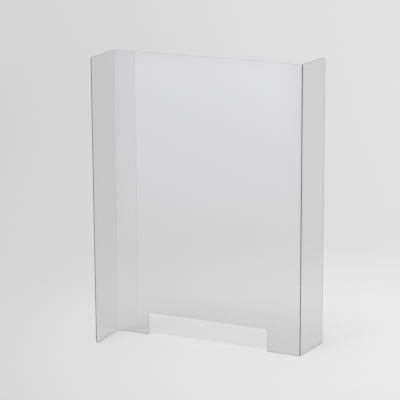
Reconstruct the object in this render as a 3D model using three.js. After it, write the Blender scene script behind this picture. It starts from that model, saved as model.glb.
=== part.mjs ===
// Free-standing clear desk screen: one sheet of clear plastic, creased along two upright lines
// into a Z and stood on its lower edges. The left wing comes forward, the right wing goes back,
// and a document slot is cut up into the lower edge of the front panel.
//
// The origin is the middle of the footprint's bounding rectangle, on the desk top.
// +X runs to the right along the front panel, +Y points away from the person in front, +Z is up.

import * as THREE from 'three';

// Driving dimensions, in millimetres and degrees.
const sheetHeight = 900;
const panelWidth = 620; // between the two corner lines, where the middles of the flat zones would meet
const wingDepth = 145; // from a corner line to the free edge of its wing
const thickness = 2;
const innerBendRadius = 2.5;
const leftCornerAngle = 91; // inside angle between the front panel and the wing
const rightCornerAngle = 96;
const wingCornerRadius = 10;
const slotWidth = 405;
const slotHeight = 72;
const slotCornerRadius = 8;
const seamGap = 0.02; // keeps each fold zone just clear of the flat zones beside it
const arcSegments = 16;

// Worked out from the driving dimensions.
const middleBendRadius = innerBendRadius + thickness / 2;
const outerBendRadius = innerBendRadius + thickness;

/** How far the sheet turns at a corner, in radians. */
function bendAngle(cornerAngle) {
  return THREE.MathUtils.degToRad(180 - cornerAngle);
}

/** Distance from a corner line to where the sheet is flat again. */
function bendLength(cornerAngle) {
  return middleBendRadius * Math.tan(bendAngle(cornerAngle) / 2);
}

/** Clear, glossy sheet with a faint cool tint. */
function clearSheet() {
  return new THREE.MeshStandardMaterial({
    color: 0xdde6ea,
    roughness: 0.06,
    metalness: 0,
    transparent: true,
    opacity: 0.35,
  });
}

function namedMesh(name, geometry) {
  const mesh = new THREE.Mesh(geometry, clearSheet());
  mesh.name = name;
  return mesh;
}

/** A flat zone of the sheet: an outline in X and Z, with the sheet's thickness centred on Y. */
function flatZone(name, outline) {
  const geometry = new THREE.ExtrudeGeometry(outline, {
    depth: thickness,
    bevelEnabled: false,
    curveSegments: arcSegments,
  });
  geometry.translate(0, 0, -thickness / 2);
  geometry.rotateX(Math.PI / 2);
  return namedMesh(name, geometry);
}

/** The front panel, with the document slot open at its lower edge. */
function frontPanel() {
  const left = -panelWidth / 2 + bendLength(leftCornerAngle) + seamGap;
  const right = panelWidth / 2 - bendLength(rightCornerAngle) - seamGap;
  const slotSide = slotWidth / 2;
  const arcSide = slotSide - slotCornerRadius;
  const arcHeight = slotHeight - slotCornerRadius;

  const outline = new THREE.Shape();
  outline.moveTo(left, 0);
  outline.lineTo(-slotSide, 0);
  outline.lineTo(-slotSide, arcHeight);
  outline.absarc(-arcSide, arcHeight, slotCornerRadius, Math.PI, Math.PI / 2, true);
  outline.lineTo(arcSide, slotHeight);
  outline.absarc(arcSide, arcHeight, slotCornerRadius, Math.PI / 2, 0, true);
  outline.lineTo(slotSide, 0);
  outline.lineTo(right, 0);
  outline.lineTo(right, sheetHeight);
  outline.lineTo(left, sheetHeight);
  outline.closePath();
  return flatZone('front_panel', outline);
}

/** A wing lying along +X from the corner line, with the two corners of its free edge rounded. */
function wing(name, cornerAngle) {
  const start = bendLength(cornerAngle) + seamGap;
  const arcStart = wingDepth - wingCornerRadius;
  const upperArc = sheetHeight - wingCornerRadius;

  const outline = new THREE.Shape();
  outline.moveTo(start, 0);
  outline.lineTo(arcStart, 0);
  outline.absarc(arcStart, wingCornerRadius, wingCornerRadius, -Math.PI / 2, 0, false);
  outline.lineTo(wingDepth, upperArc);
  outline.absarc(arcStart, upperArc, wingCornerRadius, 0, Math.PI / 2, false);
  outline.lineTo(start, sheetHeight);
  outline.closePath();

  const mesh = flatZone(name, outline);
  mesh.rotation.z = -THREE.MathUtils.degToRad(cornerAngle);
  return mesh;
}

/** The crease between panel and wing: the sheet's section swept round the bend, as tall as the sheet. */
function foldZone(name, cornerAngle) {
  const centreX = bendLength(cornerAngle);
  const centreY = -middleBendRadius;
  const panelSide = Math.PI / 2;
  const wingSide = panelSide + bendAngle(cornerAngle);

  const section = new THREE.Shape();
  section.absarc(centreX, centreY, outerBendRadius, panelSide, wingSide, false);
  section.absarc(centreX, centreY, innerBendRadius, wingSide, panelSide, true);
  section.closePath();

  const geometry = new THREE.ExtrudeGeometry(section, {
    depth: sheetHeight,
    bevelEnabled: false,
    curveSegments: arcSegments,
  });
  return namedMesh(name, geometry);
}

/** One corner of the Z about its corner line: the front panel leaves along +X, the wing turns to -Y. */
function corner(side, cornerAngle) {
  const group = new THREE.Group();
  group.add(foldZone(`${side}_fold`, cornerAngle));
  group.add(wing(`${side}_wing`, cornerAngle));
  return group;
}

const leftCorner = corner('left', leftCornerAngle);
leftCorner.position.x = -panelWidth / 2;

const rightCorner = corner('right', rightCornerAngle);
rightCorner.position.x = panelWidth / 2;
rightCorner.rotation.z = Math.PI;

const deskScreen = new THREE.Group();
deskScreen.add(frontPanel(), leftCorner, rightCorner);

// Built about the middle of the front panel, then moved so that the footprint is centred.
const measureEveryVertex = true;
const footprint = new THREE.Box3().setFromObject(deskScreen, measureEveryVertex);
const middle = footprint.getCenter(new THREE.Vector3());
deskScreen.position.set(-middle.x, -middle.y, 0);

export default deskScreen;
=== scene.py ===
"""Looks for the clear Z-folded desk screen: one glossy plastic sheet in five zones, on a pale floor."""

import math

import bmesh
import bpy
from mathutils import Matrix, Vector


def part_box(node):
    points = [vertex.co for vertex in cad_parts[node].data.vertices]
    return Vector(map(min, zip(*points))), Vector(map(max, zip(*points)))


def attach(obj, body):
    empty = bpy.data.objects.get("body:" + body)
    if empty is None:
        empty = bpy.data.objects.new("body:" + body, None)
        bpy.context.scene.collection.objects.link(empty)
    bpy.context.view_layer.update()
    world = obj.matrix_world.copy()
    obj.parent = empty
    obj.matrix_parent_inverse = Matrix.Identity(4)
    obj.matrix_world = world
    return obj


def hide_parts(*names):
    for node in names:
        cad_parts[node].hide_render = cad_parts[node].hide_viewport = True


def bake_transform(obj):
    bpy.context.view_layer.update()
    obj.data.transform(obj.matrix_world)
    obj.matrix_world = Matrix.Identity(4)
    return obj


MM = 0.001

# The sheet's shape.
CHAMFER = 0.2 * MM  # the cut edges are broken, not knife sharp
CHAMFER_STEPS = 2
WELD_REACH = 0.001 * MM  # corners this close together are one
SEAM_REACH = 0.1 * MM  # faces this close together are one seam between zones
FLAT_ANGLE = math.radians(0.5)  # neighbours that turn less than this are one face
SMOOTH_ANGLE = math.radians(12)  # and less than this, one rounded surface
SHARP_ANGLE = math.radians(60)  # edges that turn more than this were cut
SAME_WAY = 0.99  # directions whose dot product is above this point the same way
SQUARE = 0.1  # and below this they are square to each other
CROWN_ANGLE = math.radians(15)  # how far a bend's crown reaches to each side of its middle

SURFACE, CUT, SEAM, CROWN = range(4)  # the sheet's kinds of face, in the order of their materials

# The clear plastic. A SCALE is in cycles per metre. A NOISE is the part of the noise's range in which
# what it drives goes from its least to its most.
REFRACTIVE_INDEX = 1.57
SURFACE_TINT = (0.919, 0.919, 0.921)  # light left after crossing one surface
CROWN_PAINTED_SHADE = (0.3, 0.29, 0.34)  # painted shade: this much of that is left at a bend's crown, standing for the rest that is led away inside
LAMP_TINT = 0.92  # what a shadow keeps, for each surface crossed
RIPPLE_SCALE = 7
RIPPLE_STRETCH = (1, 1, 0.35)
RIPPLE_HEIGHT = 0.06 * MM
SCUFF_SCALE = 900
SCUFF_STRETCH = (1, 1, 0.08)
SCUFF_HEIGHT = 0.0002 * MM
HANDLING_SCALE = 14
HANDLING_NOISE = (0.45, 0.75)
HANDLED_ROUGHNESS = 0.02
DUST_SCALE = 260
DUST_NOISE = (0.60, 0.80)
DUST_COVER = (0.004, 0.03)
DUST_TONE = 0.8

# Its cut edge.
SAW_SCALE = 2500
SAW_DEPTH = 0.05 * MM
SAW_STRENGTH = 0.5
PATCH_SCALE = 40
PATCH_NOISE = (0.3, 0.7)
# Painted shade: the edge's near-black colour stands for the dark line a clear edge shows.
EDGE_PAINTED_SHADE = (0.02, 0.05)
EDGE_ROUGHNESS = (0.45, 0.6)
EDGE_GLOSS = 0.1

# The camera, aimed at the middle of the front panel.
VIEW_AZIMUTH = 25.1
VIEW_ELEVATION = 14.7
VIEW_ROLL = -0.3
VIEW_DISTANCE = 5.89
AIM_ACROSS = -0.0205
AIM_UP = 0.0077
LENS = 173.8
SENSOR = 36

# The studio. Tones are linear light, with 1 as white.
AIR = 0.4  # soft light from every side
KEY = 0.5  # a broad front light's share on the floor
KEY_AZIMUTH = -5
KEY_ELEVATION = 72
KEY_SPREAD = math.radians(22)

# Its floor.
FLOOR_RADIUS = 40
FLOOR_SIDES = 96
FLOOR_DROP = 0.5 * MM  # keeps it clear of the sheet's lower edges
PAPER = 0.815  # how much light the floor gives back
FIBRE_SCALE = 300
FIBRES = 0.006  # what its fibres add to that at most
SLOPE = (-0.1, 0.035)  # and what is added at the camera's left and at its right: painted shade at the left, painted light at the right
SLOPE_REACH = 1.0  # how far to each side the slope goes on
SLOPE_FADE = (3.0, 14.0)  # and between which distances from the object it evens out
POOL = 0.1  # what a soft pool of painted light around the object adds
POOL_RIGHT = 0.3  # its centre is to the camera's right of the object
POOL_FADE = (0.35, 1.3)  # and it fades out between these distances from that
HORIZON = PAPER * (AIR + KEY)  # what the far floor looks like, so that it runs into the air behind it

# Its glowing card, a painted reflection in the sheet. Fades and colours go by shares of the card's width
# and length.
CARD_NEAR = 0.3  # from the panel to the card's foot
CARD_LEAN = 25
CARD_WIDTH = 0.95
CARD_LENGTH = 1.8
CARD_GLOW = 1.95  # what its brightness would rise to at its top, over what lies behind it
CARD_RISE = 0.7  # the power that the rise follows
CARD_SIDE_FADE = 0.22  # how far in from each side it fades
CARD_TOP_FADE = 0.72  # where the fade to its top begins
CARD_COLOUR = ((0.95, 1.0), (0.97, 1.0), (1.2, 0.7))  # what red, green and blue reach from 1, and where


def direction(azimuth, elevation):
    """Unit vector towards a viewer at that azimuth and elevation; azimuth 0 looks along +Y."""
    a, e = math.radians(azimuth), math.radians(elevation)
    return Vector((math.sin(a) * math.cos(e), -math.cos(a) * math.cos(e), math.sin(e)))


def middle(node):
    """The middle of a CAD node's box."""
    low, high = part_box(node)
    return (low + high) / 2


def new_object(name, bm, materials):
    """An object in the scene with the bmesh's shape. The bmesh is used up."""
    mesh = bpy.data.meshes.new(name)
    bm.to_mesh(mesh)
    bm.free()
    for material in materials:
        mesh.materials.append(material)
    made = bpy.data.objects.new(name, mesh)
    bpy.context.scene.collection.objects.link(made)
    return made


# ---------------------------------------------------------------- materials


class Nodes:
    """A material's or world's node tree, with short calls to add and join nodes."""

    def __init__(self, owner):
        owner.use_nodes = True
        self.tree = owner.node_tree
        self.tree.nodes.clear()

    def put(self, socket, value):
        """Sets a socket to a value, or joins another node's output to it."""
        if isinstance(value, bpy.types.NodeSocket):
            self.tree.links.new(value, socket)
        else:
            socket.default_value = value

    def add(self, kind, inputs=None, **settings):
        """Adds a node. inputs maps a socket's name or number to what is put there."""
        node = self.tree.nodes.new(kind)
        for name, value in settings.items():
            setattr(node, name, value)
        for name, value in (inputs or {}).items():
            self.put(node.inputs[name], value)
        return node

    def noise(self, scale, detail=2.0, stretch=(1, 1, 1)):
        """Noise in the piece's own coordinates, scale in cycles per metre, as a 0 to 1 output."""
        place = self.add("ShaderNodeTexCoord").outputs["Object"]
        mapped = self.add("ShaderNodeMapping", {"Vector": place, "Scale": stretch})
        texture = {"Vector": mapped.outputs["Vector"], "Scale": scale, "Detail": detail}
        return self.add("ShaderNodeTexNoise", texture).outputs["Fac"]

    def remap(self, value, low, high, to_low, to_high, smooth=False):
        """Maps low to high onto to_low to to_high, and goes past neither end."""
        ranges = {"Value": value, "From Min": low, "From Max": high, "To Min": to_low, "To Max": to_high}
        kind = "SMOOTHSTEP" if smooth else "LINEAR"
        return self.add("ShaderNodeMapRange", ranges, interpolation_type=kind).outputs["Result"]

    def math(self, operation, a, b):
        return self.add("ShaderNodeMath", {0: a, 1: b}, operation=operation).outputs["Value"]

    def bump(self, height, distance, strength=1.0):
        """A bumped normal, where a height of 1 stands out by that distance."""
        relief = {"Height": height, "Distance": distance, "Strength": strength}
        return self.add("ShaderNodeBump", relief).outputs["Normal"]

    def colour(self, red, green, blue):
        channels = {"Red": red, "Green": green, "Blue": blue}
        return self.add("ShaderNodeCombineColor", channels).outputs["Color"]

    def mix_shaders(self, share, first, second):
        return self.add("ShaderNodeMixShader", {0: share, 1: first, 2: second}).outputs["Shader"]

    def finish(self, shader):
        self.add("ShaderNodeOutputMaterial", {"Surface": shader})


def clear_sheet(name, outside_painted_shade=(1, 1, 1)):
    """Clear plastic: refracting, faintly grey, with slow ripples, fine rub marks and a little dust.

    Its second argument is painted shade: it dims the sheet more for light that enters here from outside.
    """
    material = bpy.data.materials.new(name)
    n = Nodes(material)
    from_inside = n.add("ShaderNodeNewGeometry").outputs["Backfacing"]
    tints_and_shade = [
        n.remap(from_inside, 0.0, 1.0, surface * outside, surface)
        for surface, outside in zip(SURFACE_TINT, outside_painted_shade)
    ]

    ripples = n.noise(RIPPLE_SCALE, detail=1.0, stretch=RIPPLE_STRETCH)
    scuffs = n.noise(SCUFF_SCALE, detail=3.0, stretch=SCUFF_STRETCH)
    ripples_in_mm = n.math("MULTIPLY", ripples, RIPPLE_HEIGHT / MM)
    scuffs_in_mm = n.math("MULTIPLY", scuffs, SCUFF_HEIGHT / MM)
    handling = n.noise(HANDLING_SCALE, detail=4.0)
    glass = n.add(
        "ShaderNodeBsdfGlass",
        {
            "Color": n.colour(*tints_and_shade),
            "IOR": REFRACTIVE_INDEX,
            "Roughness": n.remap(handling, *HANDLING_NOISE, 0.0, HANDLED_ROUGHNESS),
            "Normal": n.bump(n.math("ADD", ripples_in_mm, scuffs_in_mm), MM),
        },
    )

    dust = n.remap(n.noise(DUST_SCALE), *DUST_NOISE, *DUST_COVER)
    powder = n.add("ShaderNodeBsdfDiffuse", {"Color": (DUST_TONE, DUST_TONE, DUST_TONE, 1)})
    seen = n.mix_shaders(dust, glass.outputs["BSDF"], powder.outputs["BSDF"])

    # Lamps and the floor's bounced light pass straight through, dimmed as the sheet dims them.
    path = n.add("ShaderNodeLightPath")
    lighting = n.math("MAXIMUM", path.outputs["Is Shadow Ray"], path.outputs["Is Diffuse Ray"])
    window = n.add("ShaderNodeBsdfTransparent", {"Color": (LAMP_TINT, LAMP_TINT, LAMP_TINT, 1)})
    n.finish(n.mix_shaders(lighting, seen, window.outputs["BSDF"]))
    return material


def cut_edge():
    """The sheet's cut edge: satin, with fine saw lines across it, and painted shade: near black, for the
    dark line it shows against a pale room.
    """
    material = bpy.data.materials.new("cut_edge")
    n = Nodes(material)
    patches = n.noise(PATCH_SCALE, detail=3.0)
    edge_shade = n.remap(patches, *PATCH_NOISE, *EDGE_PAINTED_SHADE)
    satin = n.add(
        "ShaderNodeBsdfPrincipled",
        {
            "Base Color": n.colour(edge_shade, edge_shade, edge_shade),
            "Roughness": n.remap(patches, *PATCH_NOISE, *EDGE_ROUGHNESS),
            "IOR": REFRACTIVE_INDEX,
            "Specular IOR Level": EDGE_GLOSS,
            "Normal": n.bump(n.noise(SAW_SCALE), SAW_DEPTH, SAW_STRENGTH),
        },
    )
    n.finish(satin.outputs["BSDF"])
    return material


def seam():
    """The faces where one zone of the sheet goes on as the next: nothing to see."""
    material = bpy.data.materials.new("seam")
    n = Nodes(material)
    n.finish(n.add("ShaderNodeBsdfTransparent").outputs["BSDF"])
    return material


def studio_floor():
    """Matt paper with painted light: lighter to the camera's right, with a soft pool of painted light
    around the object.
    """
    material = bpy.data.materials.new("studio_floor")
    n = Nodes(material)
    place = n.add("ShaderNodeTexCoord").outputs["Object"]
    turn = {"Vector": place, "Angle": -math.radians(VIEW_AZIMUTH)}
    turned = n.add("ShaderNodeVectorRotate", turn, rotation_type="Z_AXIS").outputs["Vector"]
    to_right = n.add("ShaderNodeSeparateXYZ", {"Vector": turned}).outputs["X"]
    distance = n.add("ShaderNodeVectorMath", {0: place}, operation="LENGTH").outputs["Value"]
    # Painted shade to the camera's left and painted light to its right, evened out far away.
    nearby = n.remap(distance, *SLOPE_FADE, 1.0, 0.0)
    slope = n.math("MULTIPLY", n.remap(to_right, -SLOPE_REACH, SLOPE_REACH, *SLOPE), nearby)

    # A pool of painted light around the object.
    centre = direction(VIEW_AZIMUTH + 90, 0) * POOL_RIGHT
    from_centre = n.add("ShaderNodeVectorMath", {0: place, 1: centre}, operation="DISTANCE")
    pool = n.remap(from_centre.outputs["Value"], *POOL_FADE, POOL, 0.0, smooth=True)
    fibres = n.math("MULTIPLY", n.noise(FIBRE_SCALE, detail=3.0), FIBRES)
    level = n.math("ADD", n.math("ADD", slope, fibres), n.math("ADD", pool, PAPER))
    paper = n.add("ShaderNodeBsdfDiffuse", {"Color": n.colour(level, level, level)})
    n.finish(paper.outputs["BSDF"])
    return material


def card_reflection_glow():
    """The card's glow, a painted reflection: stronger and cooler upwards, gone at its borders, only seen
    mirrored.
    """
    material = bpy.data.materials.new("card_reflection_glow")
    n = Nodes(material)
    generated = n.add("ShaderNodeTexCoord").outputs["Generated"]
    place = n.add("ShaderNodeSeparateXYZ", {"Vector": generated})
    across, up = place.outputs["X"], place.outputs["Y"]

    from_side = n.math("MINIMUM", across, n.math("SUBTRACT", 1.0, across))
    side_fade = n.remap(from_side, 0.0, CARD_SIDE_FADE, 0.0, 1.0, smooth=True)
    top_fade = n.remap(up, CARD_TOP_FADE, 1.0, 1.0, 0.0, smooth=True)
    rise = n.math("MULTIPLY", n.math("POWER", up, CARD_RISE), CARD_GLOW)
    glow = n.math("MULTIPLY", rise, n.math("MULTIPLY", side_fade, top_fade))
    mirrored = n.math("GREATER_THAN", n.add("ShaderNodeLightPath").outputs["Glossy Depth"], 0.5)

    channels = [n.remap(up, 0.0, reached, 1.0, level) for level, reached in CARD_COLOUR]
    emission = {"Color": n.colour(*channels), "Strength": n.math("MULTIPLY", glow, mirrored)}
    light = n.add("ShaderNodeEmission", emission).outputs["Emission"]
    clear = n.add("ShaderNodeBsdfTransparent").outputs["BSDF"]
    n.finish(n.add("ShaderNodeAddShader", {0: light, 1: clear}).outputs["Shader"])
    return material


# ---------------------------------------------------------------- the sheet


def welded_copy(node):
    """A bmesh of a CAD node with its shared corners joined and its flat faces whole."""
    bm = bmesh.new()
    bm.from_mesh(node.data)
    bmesh.ops.remove_doubles(bm, verts=bm.verts, dist=WELD_REACH)
    bmesh.ops.dissolve_limit(bm, angle_limit=FLAT_ANGLE, verts=bm.verts, edges=bm.edges)
    bm.normal_update()
    return bm


def crease_ends(node):
    """Centres of a crease's two upright end faces: the ones as wide as the sheet is thick."""
    bm = welded_copy(node)
    upright = [f for f in bm.faces if abs(f.normal.z) < SQUARE]
    widest = sorted(upright, key=lambda f: f.calc_area())[-2:]
    centres = [f.calc_center_median() for f in widest]
    bm.free()
    return centres


def is_seam(face, seams):
    centre = face.calc_center_median()
    return any((centre - s).length < SEAM_REACH for s in seams)


def chamfer_cut_edges(bm, seams):
    """Breaks every sharp edge that isn't part of a seam."""
    sharp = []
    for edge in bm.edges:
        on_seam = any(is_seam(f, seams) for f in edge.link_faces)
        if edge.calc_face_angle() > SHARP_ANGLE and not on_seam:
            sharp.append(edge)
    bmesh.ops.bevel(
        bm, geom=sharp, offset=CHAMFER, segments=CHAMFER_STEPS, affect="EDGES", clamp_overlap=True
    )
    bm.normal_update()


def face_kind(face, seams, main_normal, bulge):
    """SURFACE, CUT, SEAM or CROWN. bulge is the way a bend points out, or None on a flat zone."""
    if is_seam(face, seams):
        return SEAM
    if bulge is None:
        return SURFACE if abs(face.normal.dot(main_normal)) > SAME_WAY else CUT
    if abs(face.normal.z) > SQUARE:
        return CUT
    return CROWN if face.normal.angle(bulge) < CROWN_ANGLE else SURFACE


def zone_piece(name, frame, seams, materials, bulge=None):
    """One zone of the sheet, with chamfered cut edges and a material for each kind of face."""
    bm = welded_copy(frame["nodes"][name])
    chamfer_cut_edges(bm, seams)
    main_normal = max(bm.faces, key=lambda f: f.calc_area()).normal.copy()
    for face in bm.faces:
        face.material_index = face_kind(face, seams, main_normal, bulge)
        face.smooth = True
    for edge in bm.edges:
        edge.smooth = edge.calc_face_angle() < SMOOTH_ANGLE
    piece = new_object(name + "_sheet", bm, materials)
    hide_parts(name)
    return piece


def build_sheet(frame):
    """The five zones: the panel and the wings each ride on their body; the two creases are built where
    they stand.
    """
    # The bend's crown is the clear plastic with painted shade: darker for light entering from outside.
    materials = [clear_sheet("clear_sheet"), cut_edge(), seam(), clear_sheet("bend_crown_painted_shade", CROWN_PAINTED_SHADE)]
    ends = {side: crease_ends(frame["nodes"][side + "_fold"]) for side in ("left", "right")}
    seams = ends["left"] + ends["right"]
    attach(zone_piece("front_panel", frame, seams, materials), "front")
    panel_middle = middle("front_panel")
    for side in ("left", "right"):
        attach(zone_piece(side + "_wing", frame, seams, materials), side + "_side")
        at_panel, at_wing = sorted(ends[side], key=lambda p: (p - panel_middle).length)
        bulge = middle(side + "_fold") - (at_panel + at_wing) / 2
        fold = zone_piece(side + "_fold", frame, seams, materials, bulge)
        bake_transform(fold)


# ---------------------------------------------------------------- the studio


def make_floor():
    bm = bmesh.new()
    bmesh.ops.create_circle(bm, cap_ends=True, segments=FLOOR_SIDES, radius=FLOOR_RADIUS)
    floor = new_object("floor", bm, [studio_floor()])
    floor.location.z = -FLOOR_DROP


def make_reflection_card():
    """A glowing card leaning back on the floor to the front left, only ever seen mirrored in the sheet:
    a painted reflection.

    Its foot is near the panel and it leans away along the way the camera's view is mirrored.
    """
    bm = bmesh.new()
    bmesh.ops.create_grid(bm, x_segments=1, y_segments=1, size=0.5)  # 1 m square
    card = new_object("reflection_card", bm, [card_reflection_glow()])
    away = direction(-VIEW_AZIMUTH, 0)
    slope = direction(-VIEW_AZIMUTH, CARD_LEAN)
    card.scale = (CARD_WIDTH, CARD_LENGTH, 1)
    card.rotation_euler = (math.radians(CARD_LEAN), 0, math.radians(180 - VIEW_AZIMUTH))
    card.location = away * CARD_NEAR + slope * CARD_LENGTH / 2
    for ray in ("camera", "diffuse", "shadow", "volume_scatter"):
        setattr(card, "visible_" + ray, False)


def make_key():
    """One broad, even light from high in front, which puts a faint soft shadow behind the sheet."""
    data = bpy.data.lights.new("key", "SUN")
    data.angle = KEY_SPREAD
    # A sun of strength pi lights what faces it to 1, and the floor is tilted away from it.
    data.energy = KEY * math.pi / math.sin(math.radians(KEY_ELEVATION))
    key = bpy.data.objects.new("key", data)
    key.rotation_euler = direction(KEY_AZIMUTH, KEY_ELEVATION).to_track_quat("Z", "Y").to_euler()
    key.visible_glossy = False
    bpy.context.scene.collection.objects.link(key)


def make_air():
    """Soft light from every side, which looks like the far floor wherever it is seen."""
    world = bpy.data.worlds.new("studio_air")
    n = Nodes(world)
    path = n.add("ShaderNodeLightPath").outputs
    seen = n.math("MAXIMUM", path["Is Camera Ray"], path["Is Glossy Ray"])
    strength = n.remap(seen, 0.0, 1.0, AIR, HORIZON)
    air = n.add("ShaderNodeBackground", {"Color": (1, 1, 1, 1), "Strength": strength})
    n.add("ShaderNodeOutputWorld", {"Surface": air.outputs["Background"]})
    bpy.context.scene.world = world


def make_camera(aim):
    """The camera looks at a point beside and above aim, by AIM_ACROSS and AIM_UP as it sees them."""
    data = bpy.data.cameras.new("camera")
    data.lens = LENS
    data.sensor_width = SENSOR
    data.clip_end = 5 * FLOOR_RADIUS  # so the whole floor is seen
    back = direction(VIEW_AZIMUTH, VIEW_ELEVATION)
    level = Matrix.Rotation(math.radians(VIEW_AZIMUTH), 3, "Z") @ Vector((1, 0, 0))
    upright = back.cross(level)
    target = aim + level * AIM_ACROSS + upright * AIM_UP
    roll = math.radians(VIEW_ROLL)
    right = level * math.cos(roll) + upright * math.sin(roll)
    up = upright * math.cos(roll) - level * math.sin(roll)
    turn = Matrix((right, up, back)).transposed()
    camera = bpy.data.objects.new("camera", data)
    camera.matrix_world = Matrix.Translation(target + back * VIEW_DISTANCE) @ turn.to_4x4()
    bpy.context.scene.collection.objects.link(camera)
    bpy.context.scene.camera = camera


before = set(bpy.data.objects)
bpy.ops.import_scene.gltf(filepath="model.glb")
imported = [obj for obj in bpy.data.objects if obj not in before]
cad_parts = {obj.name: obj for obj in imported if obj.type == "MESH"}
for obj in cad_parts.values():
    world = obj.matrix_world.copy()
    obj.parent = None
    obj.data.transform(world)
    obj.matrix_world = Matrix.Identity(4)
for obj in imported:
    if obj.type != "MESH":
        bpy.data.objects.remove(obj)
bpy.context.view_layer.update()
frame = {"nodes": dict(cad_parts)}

build_sheet(frame)
make_floor()
make_reflection_card()
make_air()
make_key()
make_camera(middle("front_panel"))
bpy.context.scene.view_settings.view_transform = "Standard"
